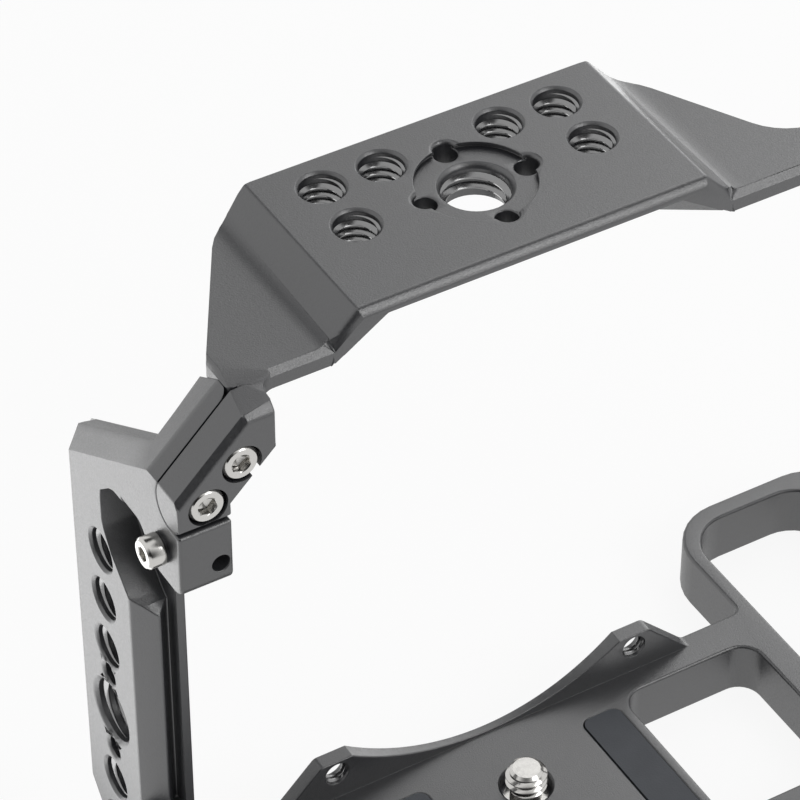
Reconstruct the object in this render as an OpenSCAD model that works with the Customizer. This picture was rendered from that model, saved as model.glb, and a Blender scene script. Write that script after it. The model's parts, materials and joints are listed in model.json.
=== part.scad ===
// Camera cage: a machined aluminium frame round a camera body.
// Origin: where the camera screw's axis meets the floor. +X grip side, +Y lens side, +Z up.

/* [Top bridge] */
// Height of the raised flat above the floor
top_z = 101.6; // [92:0.1:120]
// Half length of the raised flat
flat_half = 27; // [24:0.1:34]
// Rear edge of the bridge, ahead of the camera screw
bridge_rear_y = 0.8; // [-3:0.1:3]
// Depth of the bridge from rear to front
bridge_depth = 30.8; // [27:0.1:40]
// How far the shelves lie below the flat
step_drop = 4.3; // [3:0.1:7]
// Length of the slope between flat and shelf
step_run = 4.1; // [3:0.1:7]
// Thickness of the shelves
sheet_t = 3; // [2.2:0.1:4]
// Thickness of the flat's middle, where the threads are
core_t = 6.3; // [5:0.1:8]
// Distance between neighbouring tapped holes
grid = 9.2; // [8.4:0.1:12]
// Distance of the anti-twist locating holes from the large thread's axis
locate_r = 7.92; // [7.4:0.01:9]
// Diameter of the round recess that the large thread and the locating holes share
recess_d = 16.8; // [15.5:0.1:20]

/* [Left side] */
// Outer face of the rail, left of the camera screw
left_x = 57; // [52:0.1:70]
// Thickness of the rail and its wall
rail_t = 6.5; // [5.5:0.1:9]
// Middle of the rail, ahead of the camera screw
rail_y = 19.57; // [17:0.01:24]
// Width of the rail's flat outer face
rail_flat_w = 15.75; // [14:0.01:20]
// Depth of the rail's 45 degree flanks
rail_bevel = 3.1; // [2:0.1:4]
// How far the sloping arm rises from the rail's face to the shelf
arm_rise = 11.5; // [9:0.1:16]
// Thickness of the sloping arm, square to its slope
arm_t = 7.57; // [6.8:0.01:10]
// Drop of the lug block's top below the arm's low corner
block_drop = 5.9; // [5:0.1:9]
// Height of the lug block
block_h = 10.7; // [8:0.1:14]
// Height of the large thread in the rail above the floor
rail_big_z = 27.7; // [24:0.1:34]

/* [Base] */
// Thickness of the base
base_t = 9; // [7.5:0.1:12]
// Front edge of the base, ahead of the camera screw
base_front_y = 14.2; // [12:0.1:22]
// Rear edge of the base, behind the camera screw
base_rear_y = 27; // [24:0.1:36]
// Radius of the lens clearance in the front lip
lens_r = 42; // [36:0.1:48]
// Height of the lip's two ears above the floor
ear_h = 7.4; // [5:0.1:10]
// Thickness of the lip
lip_t = 2.4; // [1.8:0.1:4]
// Length of the battery window
window_l = 23.3; // [16:0.1:26]
// Depth of the battery window
window_d = 28.5; // [20:0.1:30]

/* [Grip side] */
// Outer face of the grip side, right of the camera screw
right_x = 80; // [74:0.1:95]
// Inner start of the grip opening, right of the camera screw
grip_x = 50; // [48:0.1:56]
// Front face of the grip loop, ahead of the camera screw
loop_front_y = 36.5; // [32:0.1:48]
// Thickness of the loop's front bar
loop_t = 3.2; // [2.5:0.1:5]
// Thickness of the loop's bar beside the base
loop_side_t = 2.6; // [2:0.1:5]
// Width of the bar that carries the upright
side_bar_w = 6; // [5.6:0.1:9]
// Thickness of the upright
upright_t = 5; // [4:0.1:6]
// Depth of the strip that joins the bridge and the upright
strip_w = 7.3; // [6.6:0.1:10]

/* [Threads and screws] */
// Bore of the small tapped holes
small_d = 6.4; // [6:0.01:6.6]
// Bore of the large tapped holes
large_d = 9.6; // [9:0.01:9.8]
// Bore of the anti-twist locating holes
locate_d = 3.3; // [3:0.01:4]
// Diameter of the camera screw
cam_d = 6.2; // [5.8:0.01:6.35]
// How far the camera screw stands above the floor
cam_reach = 3.5; // [3:0.1:5]
// Diameter of the joint screws
bolt_d = 2.9; // [2.5:0.1:3.1]
// Diameter of the lug screw
lug_d = 2.4; // [2:0.1:2.6]

/* [Hidden] */
$fn = 48;
over = 0.5;
seam = 0.06;
arc_step = 12;
lens_steps = 96;
black = "#2e2f32";
silver = "#c9c7c2";
rubber = "#44474d";

// Bridge
bridge_centre = 15.7;
centre_y = bridge_rear_y + bridge_centre;
bridge_front_y = bridge_rear_y + bridge_depth;
shelf_z = top_z - step_drop;
shelf_low_z = shelf_z - sheet_t;
shelf_x = flat_half + step_run;
corner_r = 10;
corner_out = 4.7;
shelf_r = 4.6;
crease_r = 0.8;
edge_t = 1.9;
under_in = 4.2;
shelf_tip_y = 7.05;
core_flank = 6.1;
core_front = 2;
rear_chamfer = 0.9;
rim = 0.4;
large_rim = 0.6;
recess_depth = 0.95;
recess_undercut = 0.35;

// Left joint: the foot of the bridge laps the arm of the side plate
lap_step = 0.3;
lap_y = bridge_rear_y + lap_step;
foot_t = 5.4;
foot_rear_y = lap_y - foot_t;
foot_chamfer = 0.9;
ramp_tilt = 9.65;
ramp_tip_y = 5.3;
end_tilt = 51.5;
end_turn = 58.2;
foot_ramp = 1.15;
arm_low_z = shelf_z - arm_rise;
arm_reach = 10.75;
arm_end_x = left_x - arm_reach;
arm_corner_r = 1.2;
arm_w = 7.4;
arm_strip = 2.7;
arm_tilt = 23.9;
neck_back = 3.95;
neck_x = arm_end_x - neck_back;
neck_r = 2.5;
tip_r = 1.3;
block_in = 7.8;
block_x = left_x - block_in;
nest_r = 3.6;
nest_out = 0.5;
nest_rise = 2.6;
bolt_depth = 4.75;
bolt_first = 1.6;
bolt_pitch = 7.2;
bolt_fit = 0.05;
bolt_head_d = 5.3;
bolt_head_h = 2.6;
bolt_pocket_d = 5.8;
bolt_pocket_h = 2.75;
bolt_grip = 5.6;
bolt_hex = 2.5;
bolt_hex_depth = 1.4;
dowel_d = 2;
dowel_fit = 0.01;
dowel_half = 2.6;
dowel_along = 13.3;
dowel_depth = 4.5;

// Rail and crown
inner_x = left_x - rail_t;
rail_half = rail_flat_w / 2;
vertex_half = rail_half + rail_bevel;
undercut = 1.6;
web_t = 1.4;
web_over = 1;
web_half = vertex_half + web_over;
crown_slope = 0.626;
crown_y = lap_y + arm_w;
crown_lift = 0.15;
crown_z = arm_low_z + crown_lift;
crown_r = 3.5;
crown_inner = 1.5;
foot_cut_slope = 1.28;
pocket_w = 11;
pocket_h = 20.6;
pocket_top = 11.7;
// Outline of the milled pocket: shares of its width from the rear and of its height from below
pocket_shares = [[0, 0.98], [0.12, 1], [0.59, 0.99], [0.72, 0.955], [0.965, 0.84], [0.98, 0.75], [0.975, 0.57],
  [0.93, 0.5], [0.76, 0.355], [0.31, 0.117], [0.21, 0.08], [0.11, 0.034], [0, 0]];
pocket_clear = 0.7;
pocket_far_y = rail_y - vertex_half - pocket_clear;
throat_h = 4.9;
throat_foot = 1.9;
upper_first_drop = 27;
rail_locate_r = 7.35;
hole_land = 2;
low_first = 13.5;
lug_back = 0.6;
lug_y = lap_y - lug_back;
lug_drop = 10.8;
lug_z = arm_low_z - lug_drop;
lug_fit = 0.05;
lug_head_d = 4.6;
lug_head_h = 2.6;
lug_hex = 2;
lug_hex_depth = 1.2;
lug_reach = 1.7;
lug_washer_t = 0.35;
lug_washer_d = 4.4;
pin_hole_d = 2.6;
pin_hole_depth = 2.8;
pin_hole_in = 1.75;
pin_hole_drop = 12.8;
flange_rear_y = 14;
flange_h = 6;
gusset_z = 16.5;
block_r = 1.8;

// Base
ear_top_w = 5.2;
ear_hole_d = 4;
ear_hole_z = 4.9;
lens_rise = 42.45;
lens_x = 0.6;
dip = 1.15;
dip_steps = 14;
dip_half = 23;
window_gap = 4.9;
window_end_gap = 6.1;
window_r = 3.6;
grip_r = 7;
loop_r = 9.4;
end_r = 5.5;
loop_foot_r = 1.5;
crossbar = 7;
base_r = 3;
cam_hole_d = 7.6;
cam_web = 2.2;
cam_pocket_d = 12.6;
cam_head_d = 11.6;
cam_head_t = 1.8;
cam_washer_t = 0.4;
cam_washer_bore = 6.6;
cam_tip = 0.6;
cam_slot_w = 1.6;
cam_slot_depth = 0.9;
cam_neck_d = 4.8;
ring_t = 0.8;
ring_below = 0.25;
ring_groove = 0.05;
ring_d = 13.5;
ring_bore = 10.4;
ring_gap_angle = 40;
pad_x = 13.7;
pad_w = 6.3;
pad_front_y = 6.5;
pad_l = 26;
pad_r = 1.5;
pad_depth = 0.8;
pad_proud = 0.15;
pad_clear = 0.05;
foot_hole_x = 36;
foot_hole_y = 8;

// Joints with the base
base_bolt_l = 14;
base_bolt_head_d = 5.6;
flange_margin = 4;
base_bolt_gap = 10.25;
base_bolt_x = left_x - rail_t / 2;
base_bolt_ys = [for (k = [0:2]) -flange_rear_y + flange_margin + k * base_bolt_gap];
base_dowel_ys = [for (k = [0:1]) (base_bolt_ys[k] + base_bolt_ys[k + 1]) / 2];

// Right side
strip_y0 = bridge_rear_y;
shoulder = 6.5;
seat_l = 12;
seat_t = 3.4;
seat_r = 4;
right_seat_x = right_x - shoulder;
right_inner_x = right_x - upright_t;
right_flange_h = 5;
right_flange_out = 9;
right_bolt_x = right_x - side_bar_w / 2;
right_bolt_ys = [strip_y0 - right_flange_out / 2, strip_y0 + strip_w + right_flange_out / 2];
right_dowel_ys = [strip_y0 + dowel_d, strip_y0 + strip_w - dowel_d];
seat_bolt_l = 5.6;
seat_bolt_xs = [right_seat_x - seat_l + flange_margin - dowel_d / 2, right_seat_x - flange_margin + dowel_d / 2];
strip_r = 9;

function unit(v) = v / norm(v);
// Points that round the corner b = [x, y, r] between its neighbours a and c
function corner(a, b, c) =
  b[2] == 0 ? [[b[0], b[1]]] :
  let (p = [b[0], b[1]], u = unit([a[0], a[1]] - p), v = unit([c[0], c[1]] - p),
    half = acos(u * v) / 2, o = p + unit(u + v) * b[2] / sin(half),
    s = p + u * b[2] / tan(half) - o, e = p + v * b[2] / tan(half) - o,
    a0 = atan2(s[1], s[0]), turn = (atan2(e[1], e[0]) - a0 + 540) % 360 - 180,
    n = ceil(abs(turn) / arc_step))
  [for (k = [0:n]) o + b[2] * [cos(a0 + turn * k / n), sin(a0 + turn * k / n)]];
function rounded(c) = [for (i = [0:len(c) - 1])
  each corner(c[(i + len(c) - 1) % len(c)], c[i], c[(i + 1) % len(c)])];
// A point of the side view, measured along the arm's slope and square below it
function on_arm(along, depth) =
  [-left_x + (along + depth) / sqrt(2), arm_low_z + (along - depth) / sqrt(2)];
// Height of the crown's top face
function crown_at(y) = crown_z - (y - crown_y) * crown_slope;
// Front limit of the rail's cut lower corner, which runs out at the base's front edge
function cut_y(z) = base_front_y + (z + base_t) / foot_cut_slope;
function block_top() = arm_low_z - block_drop;

module along_y(y0, y1) { translate([0, y1, 0]) rotate([90, 0, 0]) linear_extrude(y1 - y0) children(); }
module along_x(x0, x1) { translate([x0, 0, 0]) rotate([90, 0, 90]) linear_extrude(x1 - x0) children(); }
module along_z(z0, z1) { translate([0, 0, z0]) linear_extrude(z1 - z0) children(); }

// Cuts a 45 degree chamfer c along the edge a-b of a side view, on the face at depth y
module edge_cut(a, b, y, c) {
  translate([a[0], y, a[1]]) rotate([0, -atan2(b[1] - a[1], b[0] - a[0]), 0])
    along_x(-c / 2, norm(b - a) + c / 2)
      polygon([[-over, -c - over], [c + over, over], [-over, over]]);
}
// A drilled hole with a countersunk rim, from the face at z = 0 downwards
module hole(d, depth, rim_w) {
  translate([0, 0, -depth]) cylinder(d = d, h = depth + over);
  if (rim_w > 0) translate([0, 0, -rim_w]) cylinder(d1 = d, d2 = d + (rim_w + over) * 2, h = rim_w + over);
}
module socket(af, depth) {
  translate([0, 0, -depth]) cylinder(d = af / cos(30), h = depth + over, $fn = 6);
}
// Socket-head screw, its head's top at z = 0
module cap_screw(d, length, head_d, head_h, af, depth) {
  difference() {
    union() {
      translate([0, 0, -head_h]) cylinder(d = head_d, h = head_h);
      translate([0, 0, -head_h - length]) cylinder(d = d, h = length + head_h / 2);
    }
    socket(af, depth);
  }
}
// Countersunk screw, its head's top at z = 0
module flat_screw(d, length, head_d) {
  difference() {
    union() {
      translate([0, 0, -(head_d - d) / 2]) cylinder(d1 = d, d2 = head_d, h = (head_d - d) / 2);
      translate([0, 0, -length]) cylinder(d = d, h = length - (head_d - d) / 4);
    }
    socket(bolt_hex * bolt_d / bolt_head_d * sqrt(2), bolt_hex_depth * bolt_d / bolt_head_d);
  }
}
module flat_hole(d, length, head_d) {
  cone = head_d / 2 - d / 2;
  translate([0, 0, -cone]) cylinder(d1 = d, d2 = head_d + over * 2, h = cone + over);
  translate([0, 0, -length - seam]) cylinder(d = d, h = length + over);
}
module dowel(half) { translate([0, 0, -half]) cylinder(d = dowel_d, h = half * 2); }
module dowel_hole() { translate([0, 0, -dowel_half - seam]) cylinder(d = dowel_d + dowel_fit * 2, h = (dowel_half + seam) * 2); }

// Places of the joint screws in the foot, of its locating pin and of the lug screw
module at_bolt(k) {
  p = on_arm(bolt_first + k * bolt_pitch, bolt_depth);
  translate([p[0], foot_rear_y, p[1]]) rotate([90, 0, 0]) children();
}
module at_bridge_dowel() {
  p = on_arm(dowel_along, dowel_depth);
  translate([p[0], lap_y, p[1]]) rotate([90, 0, 0]) children();
}
module at_lug() { translate([-left_x, lug_y, lug_z]) rotate([0, -90, 0]) children(); }

// Side view of the bridge's sheet, from the low shelf tip to the strip's end
module sheet_side() {
  polygon(rounded([[-left_x, shelf_z, 0], [-shelf_x, shelf_z, shelf_r], [-flat_half, top_z, crease_r],
    [flat_half, top_z, crease_r], [shelf_x, shelf_z, shelf_r], [right_seat_x, shelf_z, 0],
    [right_seat_x, shelf_low_z, 0], [shelf_x, shelf_low_z, crease_r], [flat_half - under_in, top_z - edge_t, crease_r],
    [under_in - flat_half, top_z - edge_t, crease_r], [-shelf_x, shelf_low_z, crease_r], [-left_x, shelf_low_z, 0]]));
}
// Plan of the bridge ahead of its foot
module bridge_plan() {
  polygon(rounded([[-flat_half - corner_out, bridge_front_y, corner_r],
    [-arm_end_x, shelf_tip_y, 0], [-arm_end_x, lap_y, arm_corner_r], [-neck_x - neck_r, lap_y, 0],
    [-neck_x - neck_r, bridge_rear_y, 0], [right_seat_x, bridge_rear_y, strip_w / 3],
    [right_seat_x, bridge_rear_y + strip_w, strip_w / 3],
    [arm_end_x - corner_out / 3, bridge_rear_y + strip_w, strip_r],
    [flat_half + corner_out, bridge_front_y, corner_r]]));
}
// Side view of the foot
module foot_side() {
  low = on_arm(0, arm_t);
  shift = low[0] - low[1];
  polygon([[-left_x, arm_low_z], [-left_x + arm_rise, shelf_z], [-neck_x, shelf_z],
    [-neck_x, -neck_x - shift], [-block_x, -block_x - shift], [-block_x, block_top() + seam * 2],
    [-left_x, block_top() + seam * 2]]);
}
// Depth view of the foot: straight at the lap, rounded where it nests in the side plate
module nest(inset) {
  low = block_top() + seam + inset;
  out = lap_y + nest_out - inset;
  polygon(rounded([[foot_rear_y - over, low, 0], [out, low, nest_r], [out, low + nest_rise + nest_r / 2, nest_r],
    [lap_y - inset, arm_low_z, 0], [lap_y - inset, top_z, 0], [foot_rear_y - over, top_z, 0]]));
}
module top_holes() {
  translate([0, centre_y, top_z]) {
    for (x = [-2, -1, 1, 2]) translate([x * grid, grid, 0]) hole(small_d, core_t + over, rim);
    for (x = [-2, 2]) translate([x * grid, 0, 0]) hole(small_d, core_t + over, rim);
    translate([0, 0, -recess_depth]) hole(large_d, core_t, large_rim);
    translate([0, 0, -recess_depth]) cylinder(d = recess_d, h = recess_depth + over);
    translate([0, 0, -recess_depth])
      cylinder(d = recess_d + recess_undercut * 2, h = recess_depth / 2);
    for (a = [0:90:270]) rotate([0, 0, a]) translate([locate_r, 0, 0])
      hole(locate_d, core_t + over, rim);
  }
}
module top_bridge() color(black) difference() {
  union() {
    intersection() {
      along_y(foot_rear_y, bridge_front_y + over) sheet_side();
      along_z(shelf_low_z - over, top_z + over) bridge_plan();
    }
    along_x(-flat_half - crease_r, flat_half + crease_r)
      polygon([[bridge_rear_y + seam, top_z - edge_t + seam], [bridge_rear_y + core_flank, top_z - core_t],
        [bridge_front_y - core_front, top_z - core_t], [bridge_front_y - rear_chamfer, top_z - edge_t + seam]]);
    // sloping ends of the recess behind the rear edge
    for (m = [0, 1]) mirror([m, 0, 0]) difference() {
      along_y(bridge_rear_y + seam, bridge_front_y - core_front) polygon([[flat_half - core_flank, top_z - core_t],
        [flat_half - core_flank, top_z - edge_t + over], [flat_half - sheet_t, top_z - edge_t + over],
        [shelf_x - over, shelf_low_z + edge_t - over], [shelf_x - over, top_z - core_t]]);
      translate([flat_half - under_in, bridge_rear_y, top_z - edge_t]) rotate([0, end_tilt, end_turn])
        translate([-core_flank * 2, -core_flank * 2, -core_flank * 4]) cube(core_flank * 4);
    }
    intersection() {
      along_y(foot_rear_y, lap_y + nest_out) foot_side();
      along_x(-left_x - over, -neck_x + over) nest(seam);
    }
    // concave corner between the neck and the rear edge
    along_z(shelf_low_z, shelf_z) difference() {
      translate([-neck_x - neck_r, bridge_rear_y - neck_r]) square([neck_r * 2, neck_r * 2]);
      translate([-neck_x + neck_r, bridge_rear_y - neck_r]) circle(neck_r);
      translate([-neck_x + neck_r, bridge_rear_y - neck_r * 2]) square([neck_r, neck_r * 4]);
    }
  }
  // the neck's top falls a little from the shelf to the foot
  translate([neck_r - neck_x, bridge_rear_y, shelf_z])
    rotate([0, 0, atan2(ramp_tip_y - bridge_rear_y, neck_x - neck_r - arm_end_x)]) rotate([-ramp_tilt, 0, 0])
    translate([-left_x / 2, 0, 0]) cube([left_x, left_x / 2, foot_t]);
  // the slope goes on through the foot's outer corner
  translate([-left_x, foot_rear_y - over, arm_low_z]) rotate([0, -45, 0])
    cube([arm_reach * 2, lap_y - foot_rear_y + arm_w, foot_t]);
  edge_cut([-neck_x + neck_r, shelf_z], [-shelf_x, shelf_z], bridge_rear_y, rear_chamfer);
  edge_cut([-shelf_x, shelf_z], [-flat_half, top_z], bridge_rear_y, rear_chamfer);
  edge_cut([-flat_half, top_z], [flat_half, top_z], bridge_rear_y, rear_chamfer);
  edge_cut([flat_half, top_z], [shelf_x, shelf_z], bridge_rear_y, rear_chamfer);
  edge_cut([shelf_x, shelf_z], [right_seat_x, shelf_z], bridge_rear_y, rear_chamfer);
  edge_cut([-left_x, arm_low_z], [-left_x + arm_rise, shelf_z], foot_rear_y, foot_chamfer);
  edge_cut([-left_x + arm_rise - foot_ramp, shelf_z - foot_ramp], [-neck_x, shelf_z - foot_ramp], foot_rear_y, foot_chamfer);
  edge_cut([-block_x, block_top() + seam * 2], [-left_x, block_top() + seam * 2], foot_rear_y, foot_chamfer);
  top_holes();
  for (k = [0:1]) at_bolt(k) {
    translate([0, 0, -bolt_pocket_h]) cylinder(d = bolt_pocket_d, h = bolt_pocket_h + over);
    translate([0, 0, -foot_t - over]) cylinder(d = bolt_d + bolt_fit * 4, h = foot_t + over);
  }
  at_bridge_dowel() dowel_hole();
  for (x = seat_bolt_xs) translate([x, strip_y0 + strip_w / 2, shelf_z])
    flat_hole(bolt_d + bolt_fit * 2, sheet_t + over, base_bolt_head_d);
  translate([(seat_bolt_xs[0] + seat_bolt_xs[1]) / 2, strip_y0 + strip_w / 2, shelf_low_z])
    cylinder(d = dowel_d + dowel_fit * 2, h = dowel_half + seam, center = true);
}

// Plan of the rail: 45 degree flanks, undercut behind them and a web along the inside
module rail_plan() {
  neck = vertex_half - undercut;
  vertex = left_x - rail_bevel;
  translate([0, rail_y]) polygon([[-left_x, -rail_half], [-vertex, -vertex_half],
    [-vertex + undercut, -neck], [-inner_x - web_t, -neck], [-inner_x - web_t, -web_half],
    [-inner_x, -web_half], [-inner_x, web_half], [-inner_x - web_t, web_half],
    [-inner_x - web_t, neck], [-vertex + undercut, neck], [-vertex, vertex_half], [-left_x, rail_half]]);
}
module rail_side() {
  front = rail_y + web_half;
  rear = rail_y - web_half;
  polygon(rounded([[rear, 0, 0], [cut_y(0), 0, 0], [front, (front - base_front_y) * foot_cut_slope - base_t, 0],
    [front, crown_at(front), crown_r], [rear, crown_at(rear), 0]]));
}
// Side of the crown, the lug block and the throat between block and rail
module crown_side() {
  low = block_top() - block_h;
  polygon(rounded([[foot_rear_y, block_top(), 0], [foot_rear_y, low, block_r],
    [lug_y + throat_foot, low, block_r], [lug_y + throat_foot + throat_h, low + throat_h, block_r],
    [rail_y, low + throat_h, 0], [rail_y, crown_at(rail_y), 0],
    [crown_y, crown_at(crown_y), 0], [crown_y, arm_low_z, 0], [lap_y + seam, arm_low_z, 0],
    [lap_y + seam, block_top(), nest_r]]));
}
module arm_side() {
  low = on_arm(0, arm_t);
  shift = low[0] - low[1];
  floor_z = block_top() - block_h / 2;
  polygon([[-left_x, floor_z], [-left_x, arm_low_z], [-arm_end_x - seam, arm_low_z + arm_reach - seam],
    [-arm_end_x - seam, shelf_low_z - seam], [-neck_x, shelf_low_z - seam], [-neck_x, -neck_x - shift],
    [-inner_x, -inner_x - shift], [-inner_x, floor_z]]);
}
module pocket() {
  along_x(-left_x - over, -inner_x - web_t) polygon([for (s = pocket_shares)
    [pocket_far_y + s[0] * pocket_w, arm_low_z - pocket_top - (1 - s[1]) * pocket_h]]);
}
upper_first = arm_low_z - upper_first_drop;
upper_count = floor((upper_first - rail_big_z - rail_locate_r - hole_land) / grid) + 1;
rail_small_zs = concat([for (k = [0:upper_count - 1]) upper_first - k * grid],
  [rail_big_z - low_first, rail_big_z - low_first - grid]);
module rail_holes() {
  for (z = rail_small_zs) translate([-left_x, rail_y, z]) rotate([0, -90, 0]) hole(small_d, rail_t + over, rim);
  translate([-left_x, rail_y, rail_big_z]) rotate([0, -90, 0]) hole(large_d, rail_t + over, large_rim);
  for (s = [-1, 1]) translate([-left_x, rail_y, rail_big_z + s * rail_locate_r]) rotate([0, -90, 0])
    hole(locate_d, rail_t + over, rim);
}
module left_side_plate() color(black) difference() {
  union() {
    intersection() {
      along_z(0, top_z) rail_plan();
      along_x(-left_x, -inner_x) rail_side();
    }
    along_x(-left_x, -inner_x) crown_side();
    intersection() {
      along_x(-left_x, -block_x) crown_side();
      translate([-left_x, foot_rear_y, 0]) cube([block_in, lug_y + throat_foot + throat_h / 2 - foot_rear_y, block_top()]);
    }
    intersection() {
      along_y(lap_y + seam, crown_y) arm_side();
      along_z(0, top_z) polygon(rounded([[-left_x, lap_y + seam, 0], [-arm_end_x - seam, lap_y + seam, tip_r],
        [-arm_end_x - seam, crown_y, 0], [-left_x, crown_y, 0]]));
    }
    along_x(-left_x, -inner_x) polygon([[-flange_rear_y, 0], [-flange_rear_y, flange_h],
      [-flange_rear_y + flange_h, flange_h], [rail_y - vertex_half, gusset_z], [rail_y, gusset_z], [rail_y, 0]]);
  }
  // the light sloping facet that runs from the crown up the arm
  translate([-left_x, lap_y + arm_strip, arm_low_z]) rotate([0, -45, 0]) rotate([-arm_tilt, 0, 0])
    translate([-top_z / 2, 0, 0]) cube([top_z, top_z / 2, top_z / 3]);
  along_x(-left_x - over, -block_x + over) difference() {
    nest(0);
    translate([lap_y + seam, arm_low_z]) square([arm_w, top_z]);
  }
  // chamfer along the crown's inner top edge
  translate([-inner_x, crown_y, crown_z]) rotate([-atan(crown_slope), 0, 0]) rotate([0, 45, 0])
    translate([-web_half, seam, -crown_inner / sqrt(2)]) cube([web_half * 2, web_half * 4, web_half]);
  pocket();
  rail_holes();
  for (k = [0:1]) at_bolt(k) translate([0, 0, -foot_t - bolt_grip]) cylinder(d = bolt_d + bolt_fit * 2, h = bolt_grip + over);
  at_bridge_dowel() dowel_hole();
  at_lug() hole(lug_d + lug_fit * 2, block_in + over, 0);
  translate([-block_x - pin_hole_in, foot_rear_y, arm_low_z - pin_hole_drop]) rotate([90, 0, 0])
    hole(pin_hole_d, pin_hole_depth, 0);
  for (y = base_bolt_ys) translate([-base_bolt_x, y, 0]) mirror([0, 0, 1])
    hole(bolt_d + bolt_fit * 2, base_bolt_l - base_t + seam, 0);
  for (y = base_dowel_ys) translate([-base_bolt_x, y, 0]) dowel_hole();
}

// Plan of the base with the loop round the grip
module base_plan() {
  difference() {
    polygon(rounded([[-left_x, -flange_rear_y, base_r], [-left_x, cut_y(0), 0], [-inner_x, cut_y(0), 0],
      [-inner_x, base_front_y, 0], [grip_x - loop_side_t + seam, base_front_y, loop_foot_r],
      [grip_x - loop_side_t, loop_front_y, loop_r], [right_x, loop_front_y, loop_r],
      [right_x, -base_rear_y, end_r], [-inner_x, -base_rear_y, end_r]]));
    polygon(rounded([[grip_x, crossbar - base_rear_y, grip_r], [grip_x, loop_front_y - loop_t, grip_r],
      [right_x - side_bar_w, loop_front_y - loop_t, grip_r], [right_x - side_bar_w, crossbar - base_rear_y, grip_r]]));
    polygon(rounded([[grip_x - window_gap - window_l, base_front_y - window_end_gap, window_r],
      [grip_x - window_gap, base_front_y - window_end_gap, window_r],
      [grip_x - window_gap, base_front_y - window_end_gap - window_d, window_r],
      [grip_x - window_gap - window_l, base_front_y - window_end_gap - window_d, window_r]]));
  }
}
module pad_plan(clear) {
  polygon(rounded([[pad_x - clear, pad_front_y + clear, pad_r], [pad_x + pad_w + clear, pad_front_y + clear, pad_r],
    [pad_x + pad_w + clear, pad_front_y - pad_l - clear, pad_r], [pad_x - clear, pad_front_y - pad_l - clear, pad_r]]));
}
module lip() {
  ear_x = sqrt(lens_r * lens_r - (lens_rise - ear_h) * (lens_rise - ear_h)) + ear_top_w;
  ear_hole_x = ear_x - ear_top_w / 2;
  translate([lens_x, 0, 0]) along_y(base_front_y - lip_t, base_front_y) difference() {
    polygon(rounded([[-ear_x - ear_h, -seam, 0], [-ear_x, ear_h, lip_t / 2], [-ear_x + ear_top_w / 2, ear_h, 0],
      [ear_x - ear_top_w / 2, ear_h, 0], [ear_x, ear_h, lip_t / 2], [ear_x + ear_h, -seam, 0]]));
    for (s = [-1, 1]) translate([s * ear_hole_x, ear_hole_z]) circle(d = ear_hole_d);
  }
}
module base_plate() color(black) difference() {
  union() {
    along_z(-base_t, 0) base_plan();
    lip();
  }
  // lens clearance, the front edge's shallow dip below it, then the cut corner under the rail
  translate([lens_x, base_front_y, -base_t - over]) linear_extrude(base_t + ear_h + over * 2)
    polygon([for (k = [-dip_steps:dip_steps]) [k, dip * (k * k / dip_steps / dip_steps - 1) / dip_half * dip_steps],
      [dip_steps, over], [-dip_steps, over]] * (dip_half / dip_steps));
  translate([lens_x, base_front_y + over, lens_rise]) rotate([90, 0, 0]) cylinder(r = lens_r, h = lip_t + over, $fn = lens_steps);
  along_x(-left_x - over, -inner_x + over) polygon([[base_front_y, -base_t - over],
    [base_front_y, -base_t], [cut_y(0), 0], [cut_y(0) + over, -base_t - over]]);
  hole(cam_hole_d, base_t + over, rim);
  translate([0, 0, -base_t - over]) cylinder(d = cam_pocket_d, h = base_t - cam_web + over);
  translate([0, 0, ring_z() - ring_groove]) cylinder(d = ring_d + ring_groove * 2, h = ring_t + ring_groove * 2);
  for (m = [0, 1]) mirror([m, 0, 0]) along_z(-pad_depth, over) pad_plan(pad_clear);
  for (s = [0, 1]) translate([-foot_hole_x, -foot_hole_y - s * grid, -base_t]) mirror([0, 0, 1]) hole(small_d, base_t + over, rim);
  translate([-foot_hole_x + grid + large_rim, -foot_hole_y, -base_t]) mirror([0, 0, 1]) hole(large_d, base_t + over, large_rim);
  for (y = base_bolt_ys) translate([-base_bolt_x, y, -base_t]) mirror([0, 0, 1])
    flat_hole(bolt_d + bolt_fit * 2, base_t + over, base_bolt_head_d);
  for (y = base_dowel_ys) translate([-base_bolt_x, y, 0]) dowel_hole();
  for (y = right_bolt_ys) translate([right_bolt_x, y, -base_t]) mirror([0, 0, 1])
    flat_hole(bolt_d + bolt_fit * 2, base_t + over, base_bolt_head_d);
  for (y = right_dowel_ys) translate([right_bolt_x, y, 0]) dowel_hole();
}
module pad() { along_z(-pad_depth, pad_proud) pad_plan(0); }

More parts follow.
